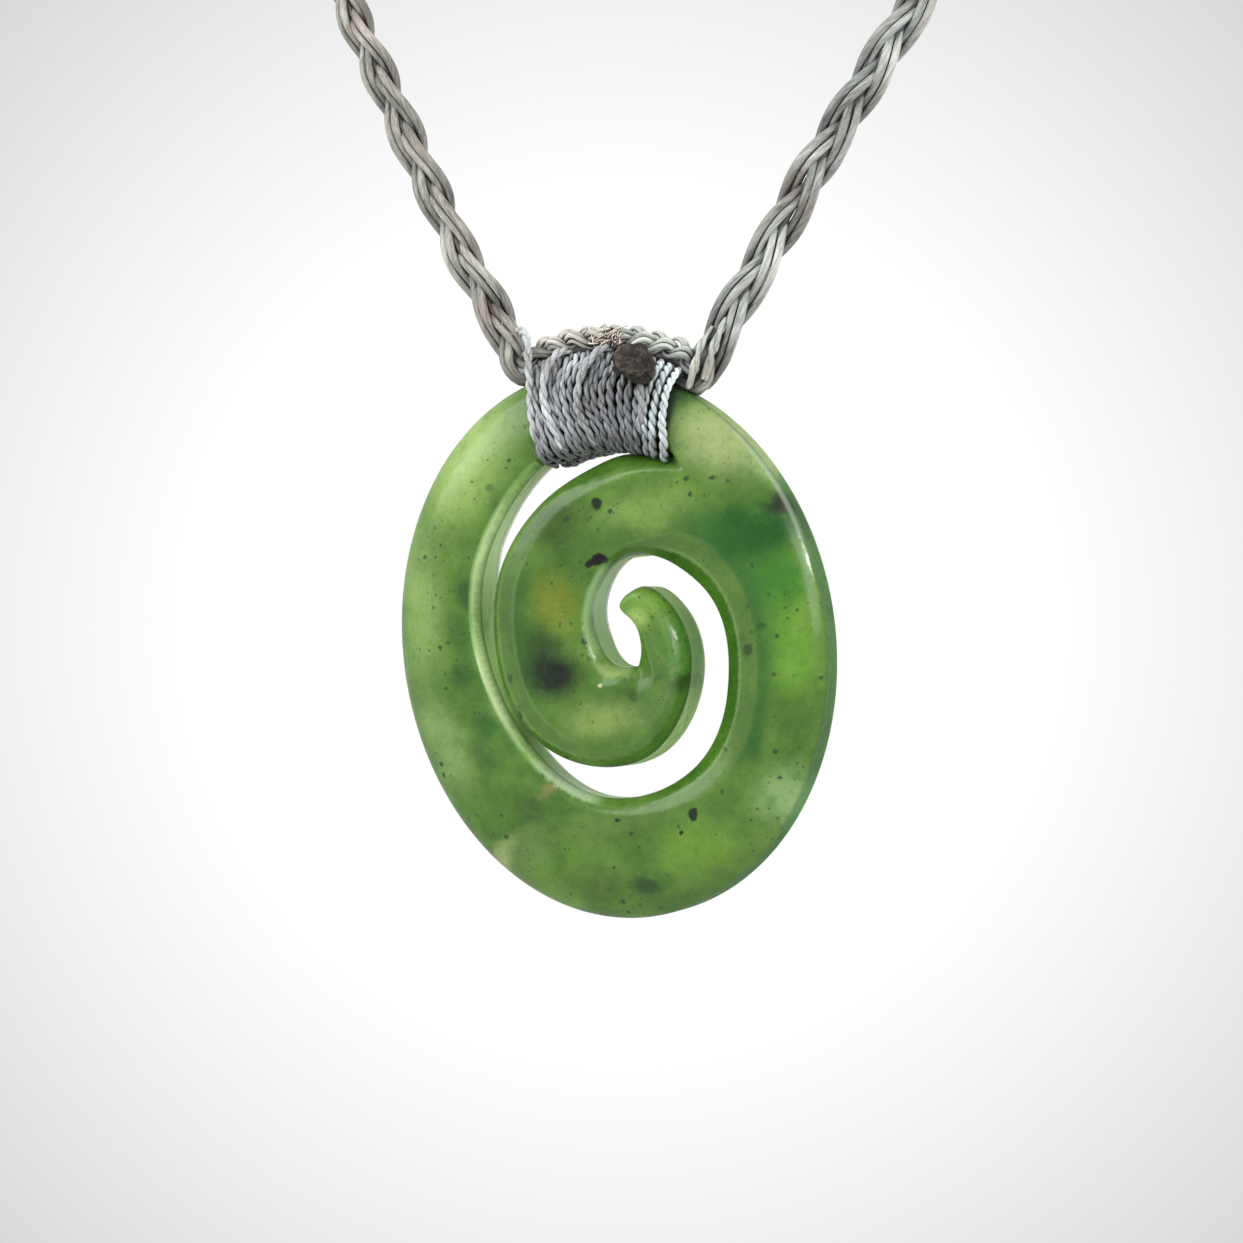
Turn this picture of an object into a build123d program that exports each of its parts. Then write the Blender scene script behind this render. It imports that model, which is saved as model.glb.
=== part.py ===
from build123d import *
import math
import os
from collections import namedtuple

# Koru pendant on a plaited cord, in millimetres.
# The origin is where the loop sits on the nape. +Z is up, +X is to the right of
# somebody who looks at the pendant's face, and +Y goes from the face to the nape.

# Stone
KORU_HEIGHT = 49.7
KORU_WIDTH = 41.1
KORU_THICKNESS = 7.0
KORU_ROLL = 10.9            # degrees that the top leans to the left as it hangs
EDGE_HEIGHT = 2.8           # flat band left all round the outer edge
DOME_INSETS = (0.8, 3.0, 7.0)   # how far in each step of the dome begins
DOME_RISES = (0.9, 0.8)     # height of the first two steps, the last takes what is left

# Bevels along the spiral gap
STEEP_WIDTH = 1.5
STEEP_DEPTH = 1.2
GENTLE_WIDTH = 1.9
GENTLE_DEPTH = 0.5
START_TAIL = (1.4, 2.3)     # how far the two bevels run past the gap's sharp start
START_TAIL_WAY = Vector(0.64, 0, -0.77)
END_TAIL = (1.4, 3.6)       # how far they run past its end in the eye
END_TAIL_WAY = Vector(-0.25, 0, -0.97)

# Binding thread round the rim
THREAD = 0.72
BINDING_CLEARANCE = 0.15
BINDING_TOP_CHAMFER = 1.6
BINDING_LOW_CHAMFER = 0.6
BINDING_SECTIONS = 6
BINDING_OVERRUN = 0.02      # that its opening is cut past each end, share of its length
BINDING_TOP = (-0.09, 0.515)     # ends along the rim's outer edge, shares of half the width
BINDING_LOW = (-0.10, 0.412)     # ends along the rim's inner wall, shares of half the width

# Plaited cord and its closure
CORD_DIAMETER = 3.2
RIDGE_CLEARANCE = 0.7       # between the binding and the cord over the rim
LEFT_RIDGE = (0.225, -0.157)    # where it crosses the rim's top, shares of half the width
RIGHT_RIDGE = (0.131, 0.545)
TOGGLE_LENGTH = 18.0
TOGGLE_DIAMETER = 7.5
TOGGLE_END_DIAMETER = 4.6
TOGGLE_TAPER = 5.0          # length of the narrowing at each end
TOGGLE_LEAD = 12.0          # straight cord into each end

# Melted end of the binding thread
KNOT_SIZE = (3.5, 2.4, 3.3)
KNOT_SHARE = 0.84           # of the way along the binding, from the left
KNOT_TILT = 45.0
KNOT_CLEARANCE = 0.15

# Loop, from the nape to the stone's middle
LOOP_WIDTH = 128.0          # between the cord's middle lines where it is widest
LOOP_DEPTH = 128.0
LOOP_DROP = 205.0
KORU_ASIDE = 0.8

# Gap: both walls from the sharp start, round the spiral, to the end in the eye.
# across and up are shares of half the width and height, and steep and gentle are
# shares of the two bevels' widths.
Row = namedtuple("Row", "across up steep gentle")

GAP_START = (0.462, 0.607)
GAP_END = (0.13, -0.105)

RIM_WALL = [
    Row(0.408, 0.667, 0.25, 0.10),
    Row(0.290, 0.705, 0.20, 0.10),
    Row(0.080, 0.725, 0.20, 0.10),
    Row(-0.120, 0.690, 0.22, 0.10),
    Row(-0.350, 0.548, 0.25, 0.12),
    Row(-0.525, 0.330, 0.25, 0.12),
    Row(-0.572, 0.130, 0.25, 0.12),
    Row(-0.550, -0.070, 0.25, 0.12),
    Row(-0.460, -0.280, 0.25, 0.15),
    Row(-0.325, -0.440, 0.30, 0.20),
    Row(-0.160, -0.538, 0.35, 0.30),
    Row(0.005, -0.566, 0.45, 0.40),
    Row(0.165, -0.550, 0.60, 0.60),
    Row(0.335, -0.482, 0.85, 0.85),
    Row(0.460, -0.360, 1.00, 1.00),
    Row(0.530, -0.200, 1.00, 1.00),
    Row(0.548, -0.020, 1.00, 1.00),
    Row(0.508, 0.095, 1.00, 1.05),
    Row(0.420, 0.193, 0.95, 1.05),
    Row(0.265, 0.280, 0.45, 0.40),
    Row(0.130, 0.280, 0.20, 0.15),
    Row(0.030, 0.215, 0.18, 0.12),
    Row(-0.035, 0.110, 0.20, 0.15),
    Row(-0.030, 0.000, 0.35, 0.30),
    Row(0.030, -0.088, 0.60, 0.60),
]

BAND_WALL = [
    Row(0.370, 0.624, 0.60, 0.20),
    Row(0.270, 0.650, 0.85, 0.30),
    Row(0.095, 0.636, 0.85, 0.40),
    Row(-0.120, 0.578, 0.50, 0.70),
    Row(-0.290, 0.487, 0.50, 0.85),
    Row(-0.450, 0.325, 0.60, 0.90),
    Row(-0.520, 0.130, 0.65, 0.90),
    Row(-0.523, -0.070, 0.65, 0.90),
    Row(-0.450, -0.250, 0.60, 0.85),
    Row(-0.340, -0.354, 0.60, 0.75),
    Row(-0.200, -0.420, 0.55, 0.60),
    Row(-0.040, -0.448, 0.50, 0.45),
    Row(0.115, -0.426, 0.50, 0.40),
    Row(0.240, -0.352, 0.50, 0.35),
    Row(0.335, -0.235, 0.50, 0.30),
    Row(0.380, -0.095, 0.50, 0.30),
    Row(0.365, 0.020, 0.45, 0.30),
    Row(0.305, 0.118, 0.35, 0.25),
    Row(0.225, 0.172, 0.25, 0.20),
    Row(0.150, 0.160, 0.18, 0.15),
    Row(0.104, 0.116, 0.15, 0.10),
    Row(0.136, 0.062, 0.25, 0.15),
    Row(0.158, -0.012, 0.60, 0.45),
    Row(0.150, -0.066, 0.80, 0.70),
]

# Cord: the free points of each arm, from the stone's shoulder to the nape. out is a share
# of half the loop's width, back of its depth, and up of the height from the ridge to the nape.
Hang = namedtuple("Hang", "out back up")

LEFT_ARM = [
    Hang(-0.262, 0.013, 0.059),
    Hang(-0.478, 0.042, 0.207),
    Hang(-0.750, 0.137, 0.391),
    Hang(-0.938, 0.312, 0.571),
    Hang(-1.000, 0.531, 0.738),
    Hang(-0.914, 0.742, 0.876),
    Hang(-0.734, 0.895, 0.949),
    Hang(-0.531, 0.996, 0.989),
]
RIGHT_ARM = [
    Hang(0.278, 0.012, 0.052),
    Hang(0.503, 0.042, 0.199),
    Hang(0.766, 0.137, 0.385),
    Hang(0.945, 0.312, 0.568),
    Hang(1.000, 0.531, 0.738),
    Hang(0.914, 0.742, 0.876),
    Hang(0.734, 0.895, 0.949),
    Hang(0.531, 0.996, 0.989),
]
ROUTE_SHARE = 0.45          # of the shorter run, which each rounded corner takes

HALF_WIDTH = KORU_WIDTH / 2
HALF_HEIGHT = KORU_HEIGHT / 2
HALF_THICKNESS = KORU_THICKNESS / 2
KORU_CENTRE = Vector(KORU_ASIDE, -LOOP_DEPTH, -LOOP_DROP)
BINDING_REACH = BINDING_CLEARANCE + THREAD      # from the stone to the binding's outside


def hung(shape):
    """Turn a shape made about the stone's middle as the stone hangs, and put it in place."""
    return Location(KORU_CENTRE) * Rotation(0, -KORU_ROLL, 0) * shape


# Stone

def outline_ellipse(inset, depth):
    """One level of the blank: the outline drawn in by inset, at this depth."""
    plane = Plane(origin=(0, depth, 0), x_dir=(1, 0, 0), z_dir=(0, -1, 0))
    return Wire([Edge.make_ellipse(HALF_WIDTH - inset, HALF_HEIGHT - inset, plane)])


def dome_levels():
    """Insets and heights above the middle plane, from the edge to the face."""
    heights = [EDGE_HEIGHT / 2]
    for rise in DOME_RISES:
        heights.append(heights[-1] + rise)
    heights.append(HALF_THICKNESS)
    return list(zip((0.0,) + DOME_INSETS, heights))


def blank():
    """The lens-like oval that the spiral is cut from."""
    levels = dome_levels()
    front = [outline_ellipse(inset, -height) for inset, height in reversed(levels)]
    back = [outline_ellipse(inset, height) for inset, height in levels]
    return Solid.make_loft(front + back, ruled=True)


def plan(across, up):
    """A point of the stone's plan from its two shares."""
    return Vector(across * HALF_WIDTH, 0, up * HALF_HEIGHT)


def bevel_reach(row, level):
    """How far into the stone the bevels have moved the wall at level 0, 1 or 2."""
    reach = row.steep * STEEP_WIDTH if level > 0 else 0.0
    return reach + (row.gentle * GENTLE_WIDTH if level > 1 else 0.0)


def tail_reach(tail, level):
    """How far a bevel runs past the gap's start or end at level 0, 1 or 2."""
    return 0.0 if level == 0 else tail[level - 1]


def wall_places(rows, level, stone_side):
    """One wall's points at this level. stone_side is 1 where the stone is on the left."""
    start = plan(*GAP_START)
    end = plan(*GAP_END)
    places = [start] + [plan(row.across, row.up) for row in rows] + [end]
    moved = []
    for index, row in enumerate(rows, start=1):
        along = (places[index + 1] - places[index - 1]).normalized()
        sideways = Vector(-along.Z, 0, along.X) * stone_side
        moved.append(places[index] + sideways * bevel_reach(row, level))
    first = start + START_TAIL_WAY * tail_reach(START_TAIL, level)
    last = end + END_TAIL_WAY * tail_reach(END_TAIL, level)
    return [first] + moved + [last]


def gap_ring(level, depth):
    """Closed outline of the gap at one depth."""
    lift = Vector(0, depth, 0)
    rim = Spline([place + lift for place in wall_places(RIM_WALL, level, -1)])
    band = Spline([place + lift for place in wall_places(BAND_WALL, level, 1)])
    return Wire([rim.edge(), band.edge()])


def gap_cutter():
    """Everything that the gap and its bevels take away, through both faces."""
    wall = HALF_THICKNESS - GENTLE_DEPTH - STEEP_DEPTH
    levels = [(0, wall), (1, wall + STEEP_DEPTH), (2, HALF_THICKNESS), (2, KORU_THICKNESS)]
    front = [gap_ring(level, -depth) for level, depth in reversed(levels)]
    back = [gap_ring(level, depth) for level, depth in levels]
    return Solid.make_loft(front + back, ruled=True)


def koru():
    return hung(blank() - gap_cutter())


# Binding

def rim_top(across):
    """The outer edge's height at this place across the stone."""
    return HALF_HEIGHT * math.sqrt(1 - (across / HALF_WIDTH) ** 2)


def rim_low(across):
    """The height of the rim's inner wall at this place across the stone, above the gap."""
    wall = Spline(wall_places(RIM_WALL, 0, -1))
    upright = Axis((across, 0, 0), (0, 0, 1))
    return max(place.Z for place in wall.find_intersection_points(upright))


def between(ends, share):
    """A place across the stone between two ends given as shares of half its width."""
    return (ends[0] + (ends[1] - ends[0]) * share) * HALF_WIDTH


def binding_section(share, spread):
    """One octagon round the rim, spread outwards from the stone by this much."""
    top_x = between(BINDING_TOP, share)
    low_x = between(BINDING_LOW, share)
    top = Vector(top_x, 0, rim_top(top_x))
    low = Vector(low_x, 0, rim_low(low_x))
    outward = (top - low).normalized()
    top += outward * spread
    low -= outward * spread
    face = HALF_THICKNESS + spread
    corners = []
    for side in (-1, 1):
        edge = [
            (low, face - BINDING_LOW_CHAMFER),
            (low + outward * BINDING_LOW_CHAMFER, face),
            (top - outward * BINDING_TOP_CHAMFER, face),
            (top, face - BINDING_TOP_CHAMFER),
        ]
        half = [place + Vector(0, side * depth, 0) for place, depth in edge]
        corners += half if side < 0 else list(reversed(half))
    return Wire.make_polygon(corners, close=True)


def binding_block(spread, past=0.0):
    """The binding's sections lofted along the rim, run past both ends if asked."""
    shares = [index / (BINDING_SECTIONS - 1) for index in range(BINDING_SECTIONS)]
    shares[0] -= past
    shares[-1] += past
    return Solid.make_loft([binding_section(share, spread) for share in shares], ruled=True)


def binding():
    """The wound thread as one band, open where the rim goes through it."""
    outside = binding_block(BINDING_REACH)
    inside = binding_block(BINDING_CLEARANCE, past=BINDING_OVERRUN)
    return hung(outside - inside)


def knot():
    """Melted lump that ends the thread, on the binding's front shoulder."""
    across = between(BINDING_TOP, KNOT_SHARE)
    lump = scale(Sphere(0.5), by=KNOT_SIZE)
    tilt = math.radians(KNOT_TILT)
    corner_height = rim_top(across) + BINDING_REACH - BINDING_TOP_CHAMFER / 2
    corner_depth = HALF_THICKNESS + BINDING_REACH - BINDING_TOP_CHAMFER / 2
    lift = KNOT_SIZE[1] / 2 + KNOT_CLEARANCE
    place = Vector(
        across,
        -(corner_depth + lift * math.cos(tilt)),
        corner_height + lift * math.sin(tilt),
    )
    return hung(Location(place) * Rotation(-KNOT_TILT, 0, 0) * lump)


# Cord

def ridge_place(share):
    """A place of the cord's middle line over the rim, at this share of half the width."""
    across = share * HALF_WIDTH
    top = Vector(across, 0, rim_top(across))
    outward = Vector(top.X / HALF_WIDTH**2, 0, top.Z / HALF_HEIGHT**2).normalized()
    place = top + outward * (BINDING_REACH + RIDGE_CLEARANCE + CORD_DIAMETER / 2)
    return place.rotate(Axis.Y, -KORU_ROLL) + KORU_CENTRE


def arm_points(ridge, hangs, side):
    """One arm's corners, from over the rim's top to the toggle. side is -1 or 1."""
    over = [ridge_place(share) for share in ridge]
    height = -over[0].Z
    free = [
        Vector(hang.out * LOOP_WIDTH / 2, (hang.back - 1) * LOOP_DEPTH, (hang.up - 1) * height)
        for hang in hangs
    ]
    lead = [
        Vector(side * (TOGGLE_LENGTH / 2 + along), TOGGLE_DIAMETER / 2, 0)
        for along in (TOGGLE_LEAD, 0)
    ]
    return over + free + lead


def cord_arm(name, points):
    """A tube of the plait's outer size along straight runs and tangent arcs."""
    runs = [(after - before).length for before, after in zip(points, points[1:])]
    radii = []
    for index in range(1, len(points) - 1):
        arriving = points[index] - points[index - 1]
        leaving = points[index + 1] - points[index]
        turn = math.radians(arriving.get_angle(leaving))
        shorter = min(runs[index - 1], runs[index])
        radii.append(ROUTE_SHARE * shorter / math.tan(turn / 2))
    path = FilletPolyline(*points, radius=radii)
    start = Plane(origin=path @ 0, z_dir=path % 0)
    tube = sweep(start * Circle(CORD_DIAMETER / 2), path=path)
    section = math.pi * (CORD_DIAMETER / 2) ** 2
    print(name, "length", round(path.length, 1), "volume over section times length",
          round(tube.volume / (section * path.length), 4))
    print(name, "radii", [round(radius, 1) for radius in radii])
    print(name, "corners", [tuple(round(size, 1) for size in place) for place in points])
    side = Keep.TOP if points[-1].X > 0 else Keep.BOTTOM
    return split(tube, bisect_by=Plane.YZ, keep=side)


def toggle():
    """Plain barrel that closes the loop behind the neck, with the arms meeting its ends."""
    half = TOGGLE_LENGTH / 2
    side = half - TOGGLE_TAPER
    profile = Polyline(
        (-half, 0),
        (-half, TOGGLE_END_DIAMETER / 2),
        (-side, TOGGLE_DIAMETER / 2),
        (side, TOGGLE_DIAMETER / 2),
        (half, TOGGLE_END_DIAMETER / 2),
        (half, 0),
        close=True,
    )
    barrel = revolve(make_face(profile), axis=Axis.X)
    return Location((0, TOGGLE_DIAMETER / 2, 0)) * barrel


os.makedirs("parts", exist_ok=True)
NODES = {
    "koru": koru(),
    "binding": binding(),
    "thread_knot": knot(),
    "cord_left": cord_arm("cord_left", arm_points(LEFT_RIDGE, LEFT_ARM, -1)),
    "cord_right": cord_arm("cord_right", arm_points(RIGHT_RIDGE, RIGHT_ARM, 1)),
    "toggle": toggle(),
}
for node, shape in NODES.items():
    export_step(shape, f"parts/{node}.step")
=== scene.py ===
import math

import bpy
import numpy as np
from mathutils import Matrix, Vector
from mathutils.geometry import delaunay_2d_cdt


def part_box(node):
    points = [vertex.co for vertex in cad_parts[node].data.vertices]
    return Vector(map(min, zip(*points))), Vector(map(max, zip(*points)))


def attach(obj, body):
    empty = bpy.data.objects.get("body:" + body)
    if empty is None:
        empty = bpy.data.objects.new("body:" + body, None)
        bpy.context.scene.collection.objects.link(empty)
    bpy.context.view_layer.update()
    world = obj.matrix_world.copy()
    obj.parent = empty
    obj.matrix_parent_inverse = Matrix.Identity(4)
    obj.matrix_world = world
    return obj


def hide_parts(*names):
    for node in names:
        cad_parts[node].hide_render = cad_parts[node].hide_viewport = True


# Looks of the koru pendant. Sizes in the tables are in millimetres, and every mesh is
# made in the frame's metres. The stone's own frame has across to the right, up along its
# long axis, and out towards somebody who looks at its face.

MM = 0.001
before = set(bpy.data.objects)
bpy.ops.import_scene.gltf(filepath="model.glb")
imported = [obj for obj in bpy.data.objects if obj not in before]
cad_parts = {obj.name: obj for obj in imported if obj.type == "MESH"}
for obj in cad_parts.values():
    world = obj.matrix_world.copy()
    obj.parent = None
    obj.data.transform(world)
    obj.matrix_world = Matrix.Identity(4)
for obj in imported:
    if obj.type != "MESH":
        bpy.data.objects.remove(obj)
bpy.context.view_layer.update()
rng = np.random.default_rng(20)

# Stone, as in the part's source
KORU_HEIGHT = 49.7
KORU_WIDTH = 41.1
KORU_ROLL = math.radians(10.9)
KORU_CENTRE = np.array([0.8, -128.0, -205.0])
HALF_WIDTH = KORU_WIDTH / 2
HALF_HEIGHT = KORU_HEIGHT / 2
HALF_THICKNESS = 3.5
EDGE_HALF = 1.4  # half the thickness at the outer edge
DOME_REACH = 1.55  # how fast the dome rises from the edge
STEEP_WIDTH, STEEP_DEPTH = 1.5, 1.2
GENTLE_WIDTH, GENTLE_DEPTH = 1.9, 0.5
START_TAIL, START_TAIL_WAY = (1.4, 2.3), (0.64, -0.77)
RIDGE_SOFTNESS = 0.16  # rounding where the dome meets a bevel

# Groove that runs on below the eye: its left side, its right side, and where they meet,
# for the steep and the gentle bevel's ridges
GROOVE = [
    ([(1.9, -3.4), (1.45, -4.9)], [(4.4, -3.3), (3.3, -5.4)], (2.0, -6.6)),
    ([(1.35, -4.0), (0.8, -6.0)], [(6.3, -3.6), (5.1, -6.4)], (2.6, -8.8)),
]
# How far the gap's left walls open towards the back: height on the stone, then millimetres
RIM_FLARE = [
    (-14, 0.6), (-9, 0.5), (-5, 0.3), (4.5, 0.25), (6.2, 0.12), (8, 0.25), (9.4, 0.62), (10.7, 0.95),
    (14, 1.15),
]
EYE_FLARE = [(0.5, 0.0), (4, 0.6), (7, 1.0)]
# Heights of the points down a gap's wall, as shares of the half thickness there
WALL_LEVELS = (0.94, 0.8, 0.5, 0.2, -0.2, -0.5, -0.7, -0.94)

GAP_START = (0.462, 0.607)
GAP_END = (0.13, -0.105)

# Walls of the gap: across and up as shares of the half sizes, then the shares of the
# steep and the gentle bevel's widths.
RIM_WALL = [
    (0.408, 0.667, 0.25, 0.1), (0.29, 0.705, 0.2, 0.1), (0.08, 0.725, 0.2, 0.1),
    (-0.12, 0.69, 0.22, 0.1), (-0.35, 0.548, 0.25, 0.12), (-0.525, 0.33, 0.25, 0.12),
    (-0.572, 0.13, 0.25, 0.12), (-0.55, -0.07, 0.25, 0.12), (-0.46, -0.28, 0.25, 0.15),
    (-0.325, -0.44, 0.3, 0.2), (-0.16, -0.538, 0.35, 0.3), (0.005, -0.566, 0.45, 0.4),
    (0.165, -0.55, 0.6, 0.6), (0.335, -0.482, 0.85, 0.85), (0.46, -0.36, 1.0, 1.0),
    (0.53, -0.2, 1.0, 1.0), (0.548, -0.02, 1.0, 1.0), (0.508, 0.095, 1.0, 1.05),
    (0.42, 0.193, 0.95, 1.05), (0.265, 0.28, 0.45, 0.4), (0.13, 0.28, 0.2, 0.15),
    (0.03, 0.215, 0.18, 0.12), (-0.035, 0.11, 0.2, 0.15), (-0.03, 0.0, 0.35, 0.3),
    (0.03, -0.088, 0.6, 0.6),
]
BAND_WALL = [
    (0.37, 0.624, 0.6, 0.2), (0.27, 0.65, 0.85, 0.3), (0.095, 0.636, 0.85, 0.4),
    (-0.12, 0.578, 0.5, 0.7), (-0.29, 0.487, 0.5, 0.85), (-0.45, 0.325, 0.6, 0.9),
    (-0.52, 0.13, 0.65, 0.9), (-0.523, -0.07, 0.65, 0.9), (-0.45, -0.25, 0.6, 0.85),
    (-0.34, -0.354, 0.6, 0.75), (-0.2, -0.42, 0.55, 0.6), (-0.04, -0.448, 0.5, 0.45),
    (0.115, -0.426, 0.5, 0.4), (0.24, -0.352, 0.5, 0.35), (0.335, -0.235, 0.5, 0.3),
    (0.38, -0.095, 0.5, 0.3), (0.365, 0.02, 0.45, 0.3), (0.305, 0.118, 0.35, 0.25),
    (0.225, 0.172, 0.25, 0.2), (0.15, 0.16, 0.18, 0.15), (0.104, 0.116, 0.15, 0.1),
    (0.136, 0.062, 0.25, 0.15), (0.158, -0.012, 0.6, 0.45), (0.15, -0.066, 0.8, 0.7),
]

# Camera, at the photograph's viewing angle
VIEW_AZIMUTH = math.radians(22.0)
CAMERA_PLACE = (0.09136, -0.35025, -0.20309)
FOCAL_PIXELS = 2652.0
FRAME_PIXELS = 1243.0
SENSOR = 36.0

# Backdrop: its light falls off with the tangent of the angle from straight behind
BACKDROP_WAY = (-math.sin(VIEW_AZIMUTH), math.cos(VIEW_AZIMUTH), 0.0)
BACKDROP_TOP, BACKDROP_FALL, BACKDROP_LEAST = 1.305, -1.84, 0.68


def add_object(name, data):
    made = bpy.data.objects.new(name, data)
    bpy.context.scene.collection.objects.link(made)
    return made


def make_camera():
    data = bpy.data.cameras.new("camera")
    data.sensor_fit = "HORIZONTAL"
    data.sensor_width = SENSOR
    data.lens = SENSOR * FOCAL_PIXELS / FRAME_PIXELS
    data.clip_start = 0.01
    camera = add_object("camera", data)
    camera.location = CAMERA_PLACE
    camera.rotation_euler = (math.pi / 2, 0, VIEW_AZIMUTH)
    bpy.context.scene.camera = camera


# Node helpers

class Shader:
    """The node tree of a material or a world, with short calls for the nodes that are used here."""

    def __init__(self, owner, out="ShaderNodeOutputMaterial"):
        self.owner = owner
        owner.use_nodes = True
        self.tree = owner.node_tree
        self.tree.nodes.clear()
        self.out = self.node(out)

    def node(self, kind, inputs=(), **settings):
        made = self.tree.nodes.new(kind)
        for name, value in settings.items():
            setattr(made, name, value)
        for name, value in dict(inputs).items():
            self.put(made.inputs[name], value)
        return made

    def put(self, socket, value):
        if isinstance(value, bpy.types.NodeSocket):
            self.tree.links.new(value, socket)
        else:
            socket.default_value = value

    def ordered(self, kind, values, **settings):
        """A node whose first inputs take these values in order."""
        made = self.node(kind, **settings)
        for socket, value in zip(made.inputs, values):
            self.put(socket, value)
        return made

    def math(self, operation, *values):
        return self.ordered("ShaderNodeMath", values, operation=operation).outputs[0]

    def times(self, first, second):
        return self.math("MULTIPLY", first, second)

    def vector(self, operation, *values):
        made = self.ordered("ShaderNodeVectorMath", values, operation=operation)
        return made.outputs["Value" if operation in ("LENGTH", "DOT_PRODUCT") else "Vector"]

    def ramp(self, *values):
        """A value, its range, and the range that it is eased into, which is 0 to 1 if left out."""
        kind = "ShaderNodeMapRange"
        return self.ordered(kind, values, interpolation_type="SMOOTHSTEP").outputs[0]

    def place_in(self, coordinates, location, turn, scale):
        """Coordinates in a frame that is moved, turned about its depth and scaled."""
        inputs = {"Vector": coordinates, "Location": location, "Rotation": (0, -turn, 0), "Scale": scale}
        return self.node("ShaderNodeMapping", inputs, vector_type="TEXTURE").outputs[0]

    def attribute(self, name, output="Fac"):
        return self.node("ShaderNodeAttribute", attribute_name=name).outputs[output]

    def mix(self, amount, first, second, blend="MIX"):
        made = self.node("ShaderNodeMix", data_type="RGBA", blend_type=blend)
        self.put(made.inputs[0], amount)
        self.put(made.inputs[6], first)
        self.put(made.inputs[7], second)
        return made.outputs[2]

    def noise(self, place, scale, detail=2.0, roughness=0.5, output="Fac"):
        inputs = {"Vector": place, "Scale": scale, "Detail": detail, "Roughness": roughness}
        return self.node("ShaderNodeTexNoise", inputs).outputs[output]

    def bump(self, height, distance, strength=1.0):
        inputs = {"Height": height, "Distance": distance, "Strength": strength}
        return self.node("ShaderNodeBump", inputs).outputs[0]

    def principled(self, **inputs):
        made = self.node("ShaderNodeBsdfPrincipled")
        for name, value in inputs.items():
            self.put(made.inputs[name.replace("_", " ")], value)
        self.tree.links.new(made.outputs[0], self.out.inputs[0])
        return self.owner


def srgb(red, green, blue):
    """A colour given in the photograph's 0 to 255 values."""
    values = []
    for part in (red, green, blue):
        part /= 255
        values.append(part / 12.92 if part <= 0.04045 else ((part + 0.055) / 1.055) ** 2.4)
    return (*values, 1.0)


# Meshes

def mesh_object(name, places, faces, *materials):
    """places are in millimetres in the part's frame."""
    mesh = bpy.data.meshes.new(name)
    mesh.from_pydata((places * MM).tolist(), [], faces)
    for material in materials:
        mesh.materials.append(material)
    mesh.shade_smooth()
    return add_object(name, mesh)


def add_mark(mesh, name, kind, field, values):
    """A value for each vertex, which a material reads by its name."""
    marks = mesh.attributes.new(name, kind, "POINT")
    marks.data.foreach_set(field, values.astype(np.float32).ravel())


def finish_piece(piece, node):
    """The piece rides on the part's one body and takes the place of the named node."""
    piece.data.validate()
    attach(piece, "root")
    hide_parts(node)


def ring_steps(rings, sides):
    """For each face of a tube, the ring that it starts at and its place round that ring."""
    return np.divmod(np.arange((rings - 1) * sides), sides)


def tube_faces(rings, sides):
    """Four-sided faces between rings of this many points, ring after ring."""
    i, j = ring_steps(rings, sides)
    after = (j + 1) % sides
    return np.stack([i * sides + j, i * sides + after, (i + 1) * sides + after, (i + 1) * sides + j], 1)


def full_turn(count):
    """Angles of this many points round a circle."""
    return np.arange(count) * 2 * math.pi / count


def clipped(value):
    return np.clip(value, 0, 1)


def ease(value, low, high):
    share = clipped((value - low) / (high - low))
    return share * share * (3 - 2 * share)


def between(value, low, full, past, high):
    """1 from full to past, eased down to 0 at low and at high."""
    return ease(value, low, full) * (1 - ease(value, past, high))


def bell(value, middle, width, power=2):
    """1 at the middle, falling off past this width, and flatter on top with a higher power."""
    return np.exp(-((value - middle) / width) ** power)


def looked_up(value, rows):
    """The second column of a table, interpolated where its first column has this value."""
    return np.interp(value, *np.transpose(rows))


def unit(vectors):
    return vectors / np.linalg.norm(vectors, axis=-1)[..., None]


def lengths(path):
    """Length along a path up to each of its points."""
    return np.concatenate([[0], np.cumsum(np.linalg.norm(np.diff(path, axis=0), axis=1))])


def on_left(ways):
    """Directions in the stone's plan at a right angle to these, on their left."""
    ways = unit(ways)
    return np.stack([-ways[:, 1], ways[:, 0]], 1)


def across_path(path, reference):
    """Two directions across a path at each of its points, and the path never follows the reference."""
    way = unit(np.gradient(path, axis=0))
    side = unit(np.cross(way, reference))
    return side, np.cross(side, way)


def hung(places):
    """Places of the stone's own frame (across, up, out) in the part's frame."""
    across, up, out = np.asarray(places, float).T
    cos, sin = math.cos(KORU_ROLL), math.sin(KORU_ROLL)
    return np.stack([across * cos - up * sin, -out, across * sin + up * cos], 1) + KORU_CENTRE


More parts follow.
